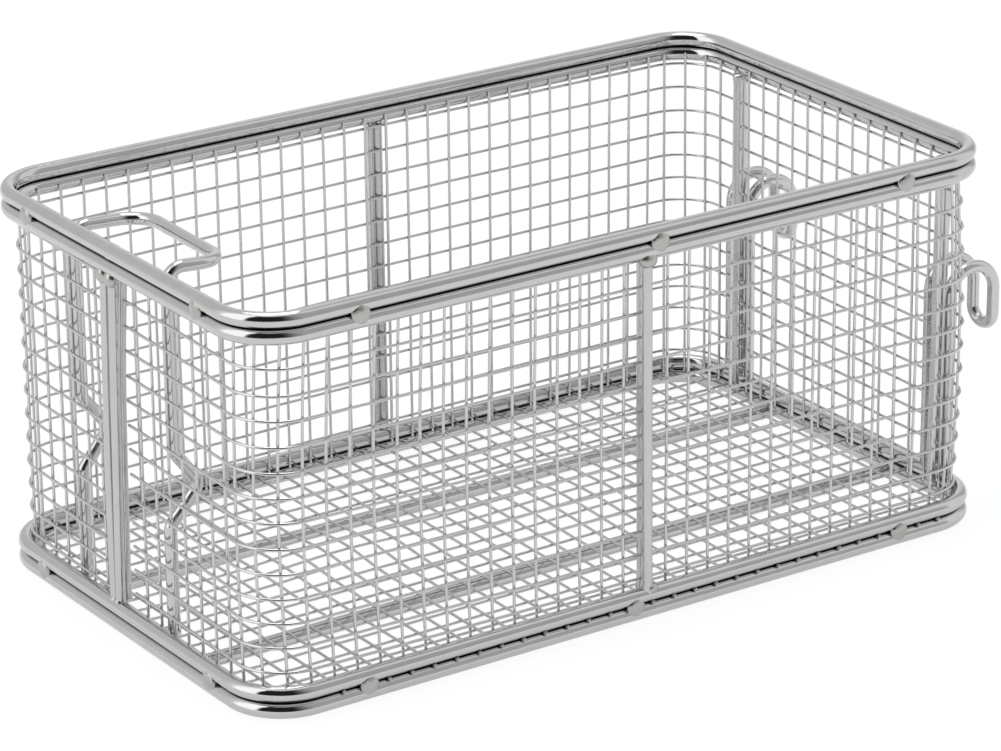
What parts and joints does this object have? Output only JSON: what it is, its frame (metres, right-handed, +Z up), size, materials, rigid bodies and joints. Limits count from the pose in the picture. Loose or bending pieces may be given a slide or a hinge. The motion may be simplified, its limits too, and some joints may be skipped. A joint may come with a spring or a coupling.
{
  "type": "deep fryer basket",
  "caption": "Rectangular welded wire frying basket with doubled rod rims at top and base, a square welded-mesh body, a fixed grip loop at one end and hanging hooks at the other.",
  "frame": {"origin": "middle of the part's overall box in plan, on the plane that the lower base ring stands on", "axes": "+X runs along the basket towards the hanging hooks, with the grip loop at -X; +Y runs across it; +Z is up, out of the open top"},
  "size_m": [0.4666, 0.2616, 0.2016],
  "materials": {
    "ring_rod": "electropolished stainless rod, satin bright",
    "frame_rod": "electropolished stainless rod, with faint drawing lines",
    "handle_rod": "electropolished stainless rod, bent bright",
    "mesh_wire": "electropolished stainless wire, spot welded where it crosses",
    "weld_bead": "cleaned weld bead, slightly matt with faint straw tint"
  },
  "bodies": {
    "root": {"upper_rim_ring": "ring_rod", "lower_rim_ring": "ring_rod", "upper_base_ring": "ring_rod", "lower_base_ring": "ring_rod", "front_mesh": "mesh_wire", "back_mesh": "mesh_wire", "handle_end_mesh": "mesh_wire", "hook_end_mesh": "mesh_wire", "handle_end_front_corner_mesh": "mesh_wire", "handle_end_back_corner_mesh": "mesh_wire", "hook_end_front_corner_mesh": "mesh_wire", "hook_end_back_corner_mesh": "mesh_wire", "floor_mesh": "mesh_wire", "front_floor_rod": "frame_rod", "back_floor_rod": "frame_rod", "front_post": "frame_rod", "back_post": "frame_rod", "handle_end_outer_post": "frame_rod", "handle_end_inner_post": "frame_rod", "hook_end_front_post": "frame_rod", "hook_end_back_post": "frame_rod", "front_hook": "frame_rod", "back_hook": "frame_rod", "handle_loop": "handle_rod", "rim_weld_bridges": "weld_bead", "base_weld_bridges": "weld_bead"}
  },
  "joints": []
}
